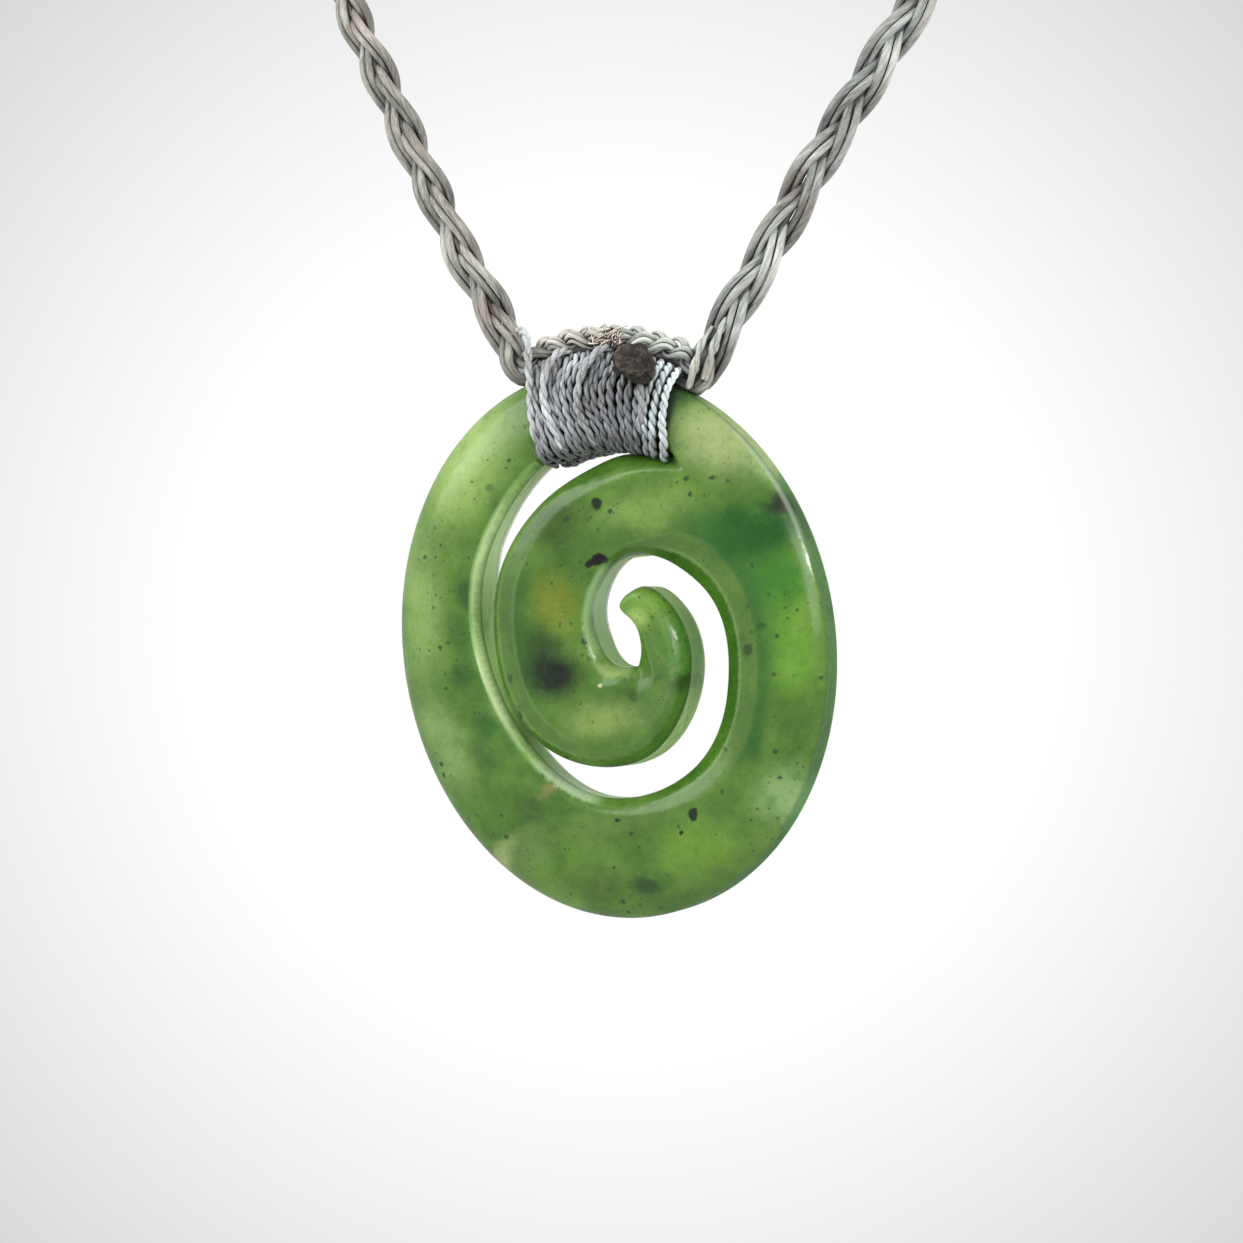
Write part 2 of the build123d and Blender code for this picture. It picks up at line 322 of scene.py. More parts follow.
def through(points, spacing):
    """Evenly spaced points on a smooth curve through given ones."""
    points = np.asarray(points, float)
    steps = np.linalg.norm(np.diff(points, axis=0), axis=1)
    knots = lengths(points)
    count = len(points)
    matrix = np.eye(count)
    right = np.zeros_like(points)
    for i in range(1, count - 1):
        matrix[i, i - 1:i + 2] = steps[i - 1], 2 * (steps[i - 1] + steps[i]), steps[i]
        slopes = np.diff(points[i - 1:i + 2], axis=0) / steps[i - 1:i + 1, None]
        right[i] = 6 * (slopes[1] - slopes[0])
    bend = np.linalg.solve(matrix, right)
    where = np.linspace(0, knots[-1], max(2, int(knots[-1] / spacing)) + 1)
    index = np.clip(np.searchsorted(knots, where, side="right") - 1, 0, count - 2)
    step = steps[index][:, None]
    near = (where - knots[index])[:, None] / step
    far = 1 - near
    return (
        far * points[index] + near * points[index + 1]
        + ((far ** 3 - far) * bend[index] + (near ** 3 - near) * bend[index + 1]) * step ** 2 / 6
    )


# Stone

def gap_sides(level, spacing):
    """Both sides of the gap, at the wall, the steep bevel's or the gentle bevel's ridge."""
    half = np.array([HALF_WIDTH, HALF_HEIGHT])
    sides = []
    for rows, stone_side in ((RIM_WALL, -1), (BAND_WALL, 1)):
        rows = np.array(rows)
        places = np.vstack([GAP_START, rows[:, :2], GAP_END]) * half
        sideways = on_left(places[2:] - places[:-2]) * stone_side
        reach = np.zeros(len(rows))
        if level > 0:
            reach += rows[:, 2] * STEEP_WIDTH
        if level > 1:
            reach += rows[:, 3] * GENTLE_WIDTH
        places[1:-1] += sideways * reach[:, None]
        if level > 0:
            places[0] += np.array(START_TAIL_WAY) * START_TAIL[level - 1]
            groove = GROOVE[level - 1]
            places = np.vstack([places[:-1], groove[0 if stone_side < 0 else 1], groove[2]])
        sides.append(through(places, spacing))
    return sides


def gap_ring(level, spacing):
    """The same as one closed outline."""
    sides = gap_sides(level, spacing)
    return np.vstack([sides[0], sides[1][::-1][1:-1]])


def in_parts(measure, places, size):
    """A measure of every place, taken for about this many of them at a time."""
    parts = np.array_split(places, max(1, len(places) // size))
    return np.concatenate([measure(part) for part in parts])


def distance_to(places, ring):
    """Distance from each place to a closed outline."""
    side = np.roll(ring, -1, 0) - ring
    square = (side ** 2).sum(1)

    def least(part):
        offset = part[:, None] - ring
        share = clipped((offset * side).sum(2) / square)
        return np.sqrt(((offset - share[..., None] * side) ** 2).sum(2).min(1))

    return in_parts(least, places, 1500)


def inside(places, ring):
    """Whether each place is inside a closed outline."""
    end = np.roll(ring, -1, 0)
    rise = np.where(end[:, 1] == ring[:, 1], 1.0, end[:, 1] - ring[:, 1])

    def crossed_oddly(part):
        x, y = part[:, :1], part[:, 1:]
        crosses = (ring[:, 1] > y) != (end[:, 1] > y)
        at = ring[:, 0] + (y - ring[:, 1]) * (end[:, 0] - ring[:, 0]) / rise
        return (crosses & (x < at)).sum(1) % 2 == 1

    return in_parts(crossed_oddly, places, 3000)


def ellipse(inset, spacing):
    angle = full_turn(int(math.pi * (HALF_WIDTH + HALF_HEIGHT) / spacing))
    return np.stack([(HALF_WIDTH - inset) * np.cos(angle), (HALF_HEIGHT - inset) * np.sin(angle)], 1)


def soft_least(first, second, width):
    """The lesser of two heights, rounded where they cross."""
    near = np.clip(width - np.abs(first - second), 0, None) / width
    return np.minimum(first, second) - near ** 2 * width / 4


GRID = 0.25
EDGE_STEP = 0.09  # first row inside an edge, which rounds it
RINGS = [gap_ring(level, 0.2) for level in range(3)]
OUTLINE = ellipse(0, 0.3)

# Where the binding covers the rim, which is painted in shadow: its lower, left and right limits, across
# and up or up and across
BOUND_LOW = [(-3, 16.6), (2, 17.0), (6, 16.3), (8, 16.2), (11, 17.0)]
BOUND_LEFT = [(16, -2.5), (22, -2.2), (25, -1.8)]
BOUND_RIGHT = [(15, 9.0), (18.7, 10.6), (22, 11.5)]

# How far the plain face past a bevel is darker than the rest: height on the stone, then millimetres
BESIDE_REACH = [(-12, 1.2), (-4, 1.5), (2, 2.4), (7, 3.6), (11, 3.0)]
RIDGE_LINE = 0.13  # half width of the line along a bevel's ridge
EDGE_LINE = 0.12  # and of those along the edges
GROOVE_HEIGHT = 3.25  # what the face rises to in the groove below the eye


def inside_of_band(places):
    """1 for the places of the band's outer side, next to the gap's left stretch."""
    to_rim, to_band = (
        np.array([np.hypot(*(side - place).T).min() for place in places]) for side in gap_sides(0, 0.5)
    )
    return ((to_band < to_rim) & (places[:, 0] < -2)).astype(float)


def polished_face(places):
    """Height of the face above the stone's middle plane, and how much of each mark a place has."""
    across, up = places.T
    edge = distance_to(places, OUTLINE)
    to_wall, to_steep, to_gentle = (distance_to(places, ring) for ring in RINGS)
    in_steep, in_bevel = (inside(places, ring) for ring in RINGS[1:])
    on_band = inside_of_band(places)

    # heights: the dome, and what the bevels and the groove leave of it
    dome = EDGE_HALF + (HALF_THICKNESS - EDGE_HALF) * (1 - np.exp(-edge / DOME_REACH))
    wall = HALF_THICKNESS - GENTLE_DEPTH - STEEP_DEPTH
    steep = wall + STEEP_DEPTH * to_wall / (to_wall + to_steep + 1e-6)
    gentle = wall + STEEP_DEPTH + GENTLE_DEPTH * to_steep / (to_steep + to_gentle + 1e-6)
    past = HALF_THICKNESS + 0.3 * to_gentle
    bevel = np.where(in_steep, steep, np.where(in_bevel, gentle, past))
    groove = bell(across, 2.4, 2.5, 4) * ease(-up, 2.6, 5.0) * ease(to_wall, 0.3, 1.6)
    bevel += (GROOVE_HEIGHT - bevel) * 0.6 * groove * (bevel < GROOVE_HEIGHT) * (up > -10)

    # the two bevels, with painted shade on the steep one and a painted reflection on the gentle one, and
    # painted highlights along their ridges
    cut = clipped((dome - bevel) / 0.15 + 0.5) * clipped((to_wall + to_steep) / 0.7 - 0.7)
    line = bell(to_steep, 0, RIDGE_LINE) + 0.8 * bell(to_gentle, 0, RIDGE_LINE)
    shown = 0.1 + 0.45 * ease(across, 2.0, 6.0) * (1 - ease(up, 8.0, 12.0))
    shown += 0.6 * ease(-across, 3.0, 5.0) * on_band
    right_side = clipped(ease(across, 2.5, 5.0) + ease(up, 12.0, 14.0) * ease(across, -1.0, 1.0))
    right_side *= 1 - 0.55 * bell(across, 7, 2.4, 4) * bell(up, -2.5, 6.5, 4)
    right_side *= 1 - 0.4 * ease(up, 12.0, 14.0)

    # the plain face just past the bevels, which is darker
    reach = np.where(across < 0, 2.4 - 1.1 * on_band, looked_up(up, BESIDE_REACH))
    beside = ease(across, 8.0, 11.0) * between(up, -15, -10, 9, 12)
    beside += 0.8 * on_band * between(up, -6, -3, 7, 9)
    beside += 0.25 * (1 - on_band) * ease(-across, 8.0, 10.0) * between(up, -12, -8, 9, 12)

    # painted light: the narrow bevel along the gap's left walls is painted as pale as they are
    past_ridge = np.where(in_steep, -to_steep, to_steep)
    narrow = ease(-past_ridge, -0.18, 0.04) * clipped(1.7 - (to_wall + to_steep) / 0.6)
    left_wall = np.maximum(ease(-across, 2.0, 4.0), ease(-across, -2.4, -1.0) * ease(up, -3.0, -1.0))
    left_wall = left_wall * ~((across > -3) & (up > 8)) * (on_band < 0.5)

    # painted shadow on the rim under the binding, and a painted highlight on the stretch of the right edge
    # that catches the light
    binding_shadow = (up > looked_up(across, BOUND_LOW)) * ease(across - looked_up(up, BOUND_LEFT), -0.15, 0.2)
    binding_shadow *= ease(looked_up(up, BOUND_RIGHT) - across, -0.3, 0.25)
    lit_line = bell(across, 18, 4, 4) * bell(up, 11.5, 6.5, 4)
    marks = {
        # painted shade on the steep bevel, a painted reflection on the gentle bevel, painted highlights
        # along the ridges
        "steep": cut * in_steep * (1 - 0.6 * groove) * right_side,
        "gentle": cut * shown * (in_bevel & ~in_steep),
        "ridge": cut * shown * clipped(line) * (1 - 0.6 * groove),
        # painted dark line along the gap's edges and the outline, where refraction darkens them
        "edge": bell(np.minimum(to_wall, edge), 0, EDGE_LINE),
        "lit_line": lit_line * bell(edge, 0.16, EDGE_LINE),
        # painted light on the gap's left walls and the narrow bevel beside them
        "wall": clipped(narrow + (to_wall < 0.02)) * left_wall * (edge > 1),
        "outer": np.zeros(len(places)),
        "binding_shadow": binding_shadow,
        "beside": ~in_bevel * bell(to_gentle, 0, reach) * beside,
    }
    return soft_least(dome, bevel, RIDGE_SOFTNESS), marks


def inner_line(ring, inset):
    """A closed outline moved this far into the stone, on either side."""
    sideways = on_left(np.roll(ring, -1, 0) - np.roll(ring, 1, 0))
    moved = ring + sideways * inset
    if inside(moved[:1], ring)[0]:
        moved = ring - sideways * inset
    return moved


def stone_plan():
    """Triangles of the stone's plan, with its outline and its gap as edges."""
    outline = ellipse(0, GRID)
    gap = gap_ring(0, GRID)
    ridges = [gap_ring(level, GRID) for level in (1, 2)]
    rows = [ellipse(inset, GRID) for inset in (EDGE_STEP, 0.25, 0.45, 0.7)]
    rows.append(inner_line(gap, EDGE_STEP))
    spots, edges = [], []
    for ring in (outline, gap, *ridges):
        first = sum(map(len, spots))
        spots.append(ring)
        edges += [(first + i, first + (i + 1) % len(ring)) for i in range(len(ring))]
    extra = np.vstack(rows)
    extra = extra[inside(extra, outline) & ~inside(extra, gap)]
    extra = extra[distance_to(extra, gap) > EDGE_STEP * 0.8]
    for ridge in ridges:
        extra = extra[distance_to(extra, ridge) > EDGE_STEP * 0.6]
    across, up = np.meshgrid(
        np.arange(-HALF_WIDTH, HALF_WIDTH, GRID),
        np.arange(-HALF_HEIGHT, HALF_HEIGHT, GRID * math.sqrt(3) / 2),
    )
    across = across + (np.arange(len(across)) % 2)[:, None] * GRID / 2
    grid = np.stack([across.ravel(), up.ravel()], 1)
    grid = grid[inside(grid, ellipse(0.8, GRID)) & ~inside(grid, gap)]
    for ring in (gap, *ridges):
        grid = grid[distance_to(grid, ring) > GRID * 0.55]
    points = [Vector(point) for point in np.vstack([*spots, extra, grid])]
    flat, _, faces, *_ = delaunay_2d_cdt(points, edges, [], 0, 1e-6)
    flat = np.array([tuple(point) for point in flat])
    faces = np.array(faces)
    middles = flat[faces].mean(1)
    keep = inside(middles, outline) & ~inside(middles, gap)
    return flat, faces[keep]


def back_flare(places):
    """How far each place moves at the back, because the gap's left walls slant."""
    side = gap_sides(0, 0.25)[0]
    into = -on_left(np.gradient(side, axis=0))

    def moved(part):
        apart = np.linalg.norm(part[:, None] - side, axis=2)
        near = apart.argmin(1)
        by_eye = (side[near, 0] >= -2.5) & (side[near, 1] > -7)
        flare = np.where(by_eye, looked_up(part[:, 1], EYE_FLARE), looked_up(part[:, 1], RIM_FLARE))
        reach = clipped(-into[near, 0]) * np.exp(-apart.min(1) / 1.5) * flare
        return into[near] * reach[:, None]

    return in_parts(moved, places, 4000) * ease(distance_to(places, OUTLINE), 0.0, 3.0)[:, None]


def stone_mesh():
    """Both polished faces over the plan, and the walls that join them."""
    flat, faces = stone_plan()
    used, faces = np.unique(faces, return_inverse=True)
    faces = faces.reshape(-1, 3)
    flat = flat[used]
    a, b, c = flat[faces[:, 0]], flat[faces[:, 1]], flat[faces[:, 2]]
    turn = (b - a)[:, 0] * (c - a)[:, 1] - (b - a)[:, 1] * (c - a)[:, 0]
    faces[turn < 0] = faces[turn < 0][:, ::-1]
    sides = np.vstack([faces[:, [0, 1]], faces[:, [1, 2]], faces[:, [2, 0]]])
    keys = set(map(tuple, sides.tolist()))
    border = [(i, j) for i, j in sides.tolist() if (j, i) not in keys]
    height, marks = polished_face(flat)
    rim = np.array([i for i, _ in border])
    height[rim] -= EDGE_STEP
    count = len(flat)
    flare = back_flare(flat)
    places = [np.column_stack([flat, height]), np.column_stack([flat + flare, -height])]
    strips = [{i: i for i in rim}]
    for row, level in enumerate(WALL_LEVELS):
        first = 2 * count + row * len(rim)
        strips.append({i: first + n for n, i in enumerate(rim)})
        places.append(np.column_stack([flat[rim] + flare[rim] * (1 - level) / 2, height[rim] * level]))
    strips.append({i: count + i for i in rim})
    quads = []
    for upper, lower in zip(strips, strips[1:]):
        quads += [[upper[i], lower[i], lower[j], upper[j]] for i, j in border]
    triangles = faces.tolist() + (faces[:, ::-1] + count).tolist()
    across, up = flat[rim].T
    on_gap = distance_to(flat[rim], OUTLINE) > 0.2
    # painted light on the gap's walls, held back where the tip band's right wall is shaded
    shaded = bell(across, 8.6, 2.2) * bell(up, -2.5, 8, 4)
    pale = [on_gap * (1 - shaded * (level > -0.75)) for level in WALL_LEVELS]
    outer = (1.0 - on_gap) * (1 - 0.9 * ease(up, 9, 14))
    on_walls = {"wall": np.concatenate(pale), "outer": np.tile(outer, len(WALL_LEVELS))}
    plain = np.zeros(len(WALL_LEVELS) * len(rim))
    for name, value in marks.items():
        marks[name] = np.concatenate([value, value, on_walls.get(name, plain)])
    return np.vstack(places), triangles, quads, marks


def make_stone(*materials):
    """The first material is for the polished faces, and the second for the walls."""
    places, triangles, quads, marks = stone_mesh()
    stone = mesh_object("koru_stone", hung(places), triangles + quads, *materials)
    on_wall = [0] * len(triangles) + [1] * len(quads)
    stone.data.polygons.foreach_set("material_index", on_wall)
    for name, value in marks.items():
        add_mark(stone.data, name, "FLOAT", "value", value)
    finish_piece(stone, "koru")


# Clouds and spots of the stone: across and up in millimetres, half width, half height, lean in degrees,
# the colour, how strong it is, and how much of its radius is its soft border. A few are painted light or
# shadow, as marked.
CLOUDS = [
    # painted light: the rim's upper left is paler where the light falls
    (-9.6, 19.2, 4.6, 7.8, -38, (172, 198, 130), 0.95, 0.9),  # pale upper left of the rim
    # painted reflection: a pale haze on the left rim
    (-16.9, 6.6, 2.8, 8.4, -8, (146, 176, 112), 0.9, 0.8),
    (-12.0, 6.9, 1.2, 2.2, 10, (42, 90, 36), 0.9, 0.8),
    (-13.9, -0.4, 1.5, 1.4, 0, (50, 98, 40), 0.85, 0.85),
    (-13.4, 2.6, 1.4, 2.8, 6, (70, 114, 46), 0.8, 0.85),
    (-12.5, -5.2, 1.5, 1.9, 15, (56, 106, 42), 0.85, 0.85),
    # painted reflection: a pale haze on the lower left rim
    (-16.8, -6.0, 2.6, 5.8, 20, (138, 168, 112), 0.9, 0.9),
    (-12.9, -8.0, 1.6, 2.4, 22, (70, 108, 52), 0.8, 0.85),
    (-10.6, -17.0, 4.6, 2.4, 35, (108, 136, 82), 0.8, 0.9),
    (-9.3, -13.2, 1.9, 1.7, 0, (66, 96, 50), 0.85, 0.85),
    (-7.4, -11.9, 1.5, 0.7, 15, (146, 134, 92), 0.75, 0.9),  # brown stain by the gap
    # painted reflection along the lower left outline
    (-13.4, -17.6, 2.8, 1.2, 42, (166, 182, 130), 0.75, 0.9),
    (-1.4, -16.0, 6.0, 2.4, 0, (104, 138, 70), 0.8, 0.9),
    (-4.0, -20.8, 4.4, 1.8, -8, (80, 110, 50), 0.8, 0.9),
    (5.6, -19.6, 4.6, 2.7, -14, (116, 156, 62), 0.85, 0.9),  # yellow green at the bottom
    (14.6, -16.6, 2.9, 3.3, -38, (152, 184, 136), 0.9, 0.9),  # milky lower right
    (12.9, -11.4, 1.1, 2.2, -8, (56, 104, 42), 0.8, 0.85),
    (17.6, -3.4, 2.8, 5.8, -6, (116, 164, 60), 0.9, 0.8),  # bright yellow green, right
    (17.4, 2.4, 3.0, 2.8, 0, (66, 136, 40), 0.95, 0.85),  # emerald, right
    (15.6, 7.1, 4.8, 3.0, 4, (30, 92, 30), 1.0, 0.65),  # deep green, upper right
    # painted reflection of the light from above on the upper right
    (14.2, 15.6, 5.4, 3.6, -30, (170, 184, 136), 1.0, 0.9),  # cream, upper right
    # painted highlight along the right edge's upper stretch
    (18.2, 12.6, 3.2, 1.5, -52, (164, 186, 140), 0.85, 0.9),
    # painted shadow of the right arm
    (11.6, 20.6, 1.6, 1.6, 0, (52, 88, 42), 0.85, 0.9),  # under the right arm
    (6.6, 10.9, 5.2, 2.6, 0, (136, 168, 94), 0.9, 0.9),  # cream along the band's top
    (-2.2, 11.6, 3.4, 2.8, 24, (66, 96, 34), 0.85, 0.9),
    (-8.6, 4.6, 1.8, 6.0, 6, (76, 112, 52), 0.8, 0.85),
    (-3.6, 4.2, 3.0, 3.8, 10, (122, 138, 42), 0.95, 0.9),  # olive left of the eye
    (-5.7, 0.9, 2.4, 2.0, 10, (54, 82, 40), 0.85, 0.9),
    (-5.2, -1.8, 3.5, 2.5, -6, (22, 38, 24), 1.0, 0.75),  # dark cloud in the band
    (-1.0, -6.8, 4.4, 2.3, -8, (146, 168, 102), 0.9, 0.9),  # cream under the eye
    (3.6, -10.2, 4.6, 1.4, 14, (80, 128, 56), 0.85, 0.9),
    (5.4, 2.7, 2.4, 1.3, -12, (124, 164, 74), 0.9, 0.8),  # the tip's top
    # painted highlight on the dome of the tip
    (4.2, 1.4, 1.4, 1.2, 0, (172, 200, 124), 0.85, 0.9),  # pale fold of the tip
    (7.6, -2.2, 1.9, 4.6, -2, (88, 140, 62), 0.85, 0.8),
    (6.7, -4.9, 1.1, 0.9, 0, (34, 64, 32), 0.8, 0.8),
    (-9.9, -5.0, 1.3, 4.2, 24, (134, 150, 122), 0.6, 0.9),
    # painted highlight in the scooped foot of the eye
    (0.5, -2.6, 1.9, 0.8, -22, (158, 180, 126), 0.95, 0.7),  # scooped foot of the eye
]
CLOUD_REACH = 1.25  # where a cloud's soft border ends, as a share of its half size
SPOT_DEPTH = 3.6  # how deep the spots of the face reach into the stone
SPOTS = [
    (1.35, 7.3, 0.85, 0.5, 8, (8, 9, 8), 1.0, 0.3),  # black spot beside the eye
    (0.45, 7.05, 0.5, 0.3, 20, (12, 14, 10), 0.95, 0.4),
    (19.5, 8.7, 2.1, 1.1, -46, (8, 8, 7), 1.0, 0.6),  # near black by the right edge
    (18.3, 8.6, 1.4, 0.8, -20, (12, 26, 14), 0.85, 0.9),
    (19.3, -6.8, 0.16, 0.26, 0, (30, 60, 26), 0.85, 0.5),
    (2.1, 12.3, 0.5, 0.55, 0, (18, 24, 18), 0.95, 0.4),
    (-1.0, 11.5, 0.4, 0.3, 0, (50, 74, 40), 0.8, 0.6),
    (13.6, -3.2, 0.5, 0.5, 0, (20, 40, 20), 0.95, 0.5),
    (15.3, -1.4, 0.6, 0.28, 0, (30, 72, 34), 0.85, 0.6),
    (6.2, -8.7, 0.5, 0.45, 30, (26, 40, 24), 0.85, 0.5),
    (4.9, -4.0, 0.55, 0.3, 10, (54, 84, 42), 0.7, 0.6),
    (6.0, -16.5, 0.42, 0.55, 0, (18, 36, 20), 0.95, 0.4),
    (4.5, -17.9, 0.22, 0.22, 0, (20, 30, 20), 0.9, 0.4),
    (-1.2, -15.9, 0.24, 0.22, 0, (30, 46, 28), 0.9, 0.4),
    (-1.4, 0.4, 0.3, 0.36, 0, (30, 42, 24), 0.9, 0.5),
    (-9.3, -1.5, 0.34, 0.42, 0, (36, 50, 36), 0.9, 0.5),
    (-9.1, -4.9, 0.34, 0.42, 0, (30, 46, 34), 0.9, 0.5),
    (-8.6, 1.2, 0.25, 0.6, 0, (58, 78, 50), 0.7, 0.6),
    (0.2, -22.0, 1.8, 0.85, -18, (46, 78, 38), 0.85, 0.7),
    (8.6, 0.8, 0.3, 0.22, 0, (34, 56, 28), 0.8, 0.5),
    (6.7, 3.15, 0.42, 0.16, -12, (32, 52, 26), 0.85, 0.5),
    (2.2, -5.3, 0.42, 0.6, 10, (58, 96, 32), 0.8, 0.6),
    # painted highlight: a small glint below the eye
    (-0.6, -3.8, 0.2, 0.16, 0, (222, 214, 170), 0.9, 0.6),
    (-7.9, 15.8, 0.5, 0.4, 0, (86, 124, 58), 0.8, 0.6),
]

# Painted light on the gap's walls: their pale tones, with the same columns as the clouds.
WALL_TONES = [
    (-10.0, 11.0, 5.0, 6.5, 0, (222, 244, 186), 0.95, 0.9),  # rim, upper left
    (-12.0, -2.5, 3.4, 6.5, 0, (232, 255, 190), 1.0, 0.8),  # rim, left
    (-6.0, -12.0, 5.0, 3.4, 0, (190, 208, 176), 0.95, 0.8),  # rim, lower left
    (0.4, 3.0, 3.0, 5.2, 0, (172, 204, 152), 0.95, 0.7),  # beside the eye
]

# Tones laid on the marked places: the mark, how strong, the colour, and how it is laid on. The steep
# bevels get painted shade, the gentle bevels a painted reflection, and the ridges and the right edge's
# line painted highlights.
FACE_MARKS = [
    ("beside", 0.7, (44, 104, 36), "MIX"),
    ("steep", 0.6, (150, 205, 100), "MULTIPLY"),
    ("gentle", 0.5, (102, 135, 72), "MIX"),
    ("ridge", 0.5, (166, 194, 138), "MIX"),
    ("lit_line", 0.75, (196, 208, 186), "MIX"),
]
# The outer wall's tint, then a painted dark line along the edges where refraction darkens them, and
# painted shadow on the rim under the binding
EDGE_MARKS = [
    ("outer", 0.9, (130, 185, 140), "MULTIPLY"),
    ("edge", 0.6, (58, 78, 52), "MIX"),
    ("binding_shadow", 0.9, (30, 42, 32), "MIX"),
]


def painted(shader, colour, rows, coordinates, face=0.0, depth=1e4):
    """A colour with the rows' clouds or spots on it, which reach this deep from this face."""
    for across, up, half_width, half_height, lean, tone, strength, border in rows:
        size = (half_width, depth, half_height)
        local = shader.place_in(coordinates, (across, face, up), math.radians(lean), size)
        away = shader.vector("LENGTH", local)
        amount = shader.ramp(away, CLOUD_REACH, CLOUD_REACH * (1 - border), 0.0, strength)
        colour = shader.mix(amount, colour, srgb(*tone))
    return colour


def marked(shader, colour, rows):
    """A colour with the rows' tones laid on it where their marks are."""
    for mark, amount, tone, blend in rows:
        colour = shader.mix(shader.times(shader.attribute(mark), amount), colour, srgb(*tone), blend)
    return colour


def jade_material(name, roughness, specular):
    """Nephrite: soft clouds, dark spots, fine flecks, and tones of its bevels, ridges and walls."""
    shader = Shader(bpy.data.materials.new(name))
    place = shader.node("ShaderNodeTexCoord").outputs["Object"]
    plan = shader.place_in(place, tuple(KORU_CENTRE * MM), KORU_ROLL, (MM, MM, MM))
    drift, flutter = (
        shader.vector("SUBTRACT", shader.noise(plan, *noise, "Color"), (0.5, 0.5, 0.5))
        for noise in ((0.2, 2.0, 0.5), (1.1, 3.0, 0.6))
    )
    moved = shader.vector("MULTIPLY_ADD", drift, (2.0, 2.0, 2.0), plan)
    moved = shader.vector("MULTIPLY_ADD", flutter, (1.1, 1.1, 1.1), moved)
    ragged = shader.vector("MULTIPLY_ADD", flutter, (0.7, 0.7, 0.7), plan)

    base = shader.ramp(shader.noise(plan, 0.16, 3.0), 0.35, 0.65)
    colour = shader.mix(base, srgb(78, 120, 46), srgb(102, 142, 62))
    colour = painted(shader, colour, CLOUDS, moved)
    colour = shader.mix(1.0, colour, (1.0, 1.03, 0.8, 1.0), "MULTIPLY")
    cloud = shader.noise(plan, 0.42, 4.0, 0.6)
    mottle = shader.noise(plan, 1.9, 4.0, 0.7)
    for amount, tone, blend in (
        (shader.ramp(cloud, 0.48, 0.8, 0.0, 0.3), (120, 150, 70), "SCREEN"),
        (shader.ramp(cloud, 0.5, 0.22, 0.0, 0.5), (130, 175, 120), "MULTIPLY"),
        (shader.ramp(mottle, 0.52, 0.3, 0.0, 0.25), (128, 158, 112), "MULTIPLY"),
    ):
        colour = shader.mix(amount, colour, srgb(*tone), blend)
    colour = painted(shader, colour, SPOTS, ragged, -HALF_THICKNESS, SPOT_DEPTH)
    crowd = shader.ramp(shader.noise(plan, 0.3, 2.0), 0.36, 0.6, 0.1, 1.0)
    for scale, size, depth in ((0.9, 0.3, 0.85), (2.2, 0.36, 0.75)):
        cell = shader.node("ShaderNodeTexVoronoi", {"Vector": ragged, "Scale": scale, "Randomness": 1.0})
        chosen = shader.node("ShaderNodeSeparateColor", {"Color": cell.outputs["Color"]}).outputs[0]
        reach = shader.times(shader.ramp(chosen, 0.45, 1.0, 0.0, size), crowd)
        past = shader.math("SUBTRACT", cell.outputs["Distance"], reach)
        colour = shader.mix(shader.ramp(past, 0.0, -0.12, 0.0, depth), colour, srgb(44, 66, 40))

    colour = marked(shader, colour, FACE_MARKS)
    # painted light on the gap's walls: pale streaked tones laid on where the wall mark is
    streak = shader.noise(shader.vector("MULTIPLY", plan, (0.7, 1.6, 0.7)), 1.0, 3.0, 0.6)
    pale = shader.mix(shader.ramp(streak, 0.3, 0.7), srgb(150, 192, 104), srgb(190, 220, 150))
    pale = painted(shader, pale, WALL_TONES, moved)
    colour = shader.mix(shader.times(shader.attribute("wall"), 0.95), colour, pale)
    # painted dark edge line and painted shadow under the binding, over the outer wall's tint
    colour = marked(shader, colour, EDGE_MARKS)

    scratch = shader.noise(shader.vector("MULTIPLY", plan, (0.5, 9.0, 9.0)), 1.0, 2.0, 0.7)
    relief = shader.math("ADD", shader.noise(plan, 0.9, 2.0), shader.times(scratch, 0.05))
    return shader.principled(
        Base_Color=colour,
        Roughness=shader.ramp(shader.noise(plan, 1.4, 3.0, 0.6), 0.3, 0.7, roughness, roughness + 0.11),
        Subsurface_Weight=0.6,
        Subsurface_Radius=(0.7, 1.0, 0.5),
        Subsurface_Scale=0.003,
        IOR=1.61,
        Specular_IOR_Level=specular,
        Normal=shader.bump(relief, 0.00006, 0.5),
    )


# Threads

PLIES = 3.0  # plies that a thread's surface shows round it


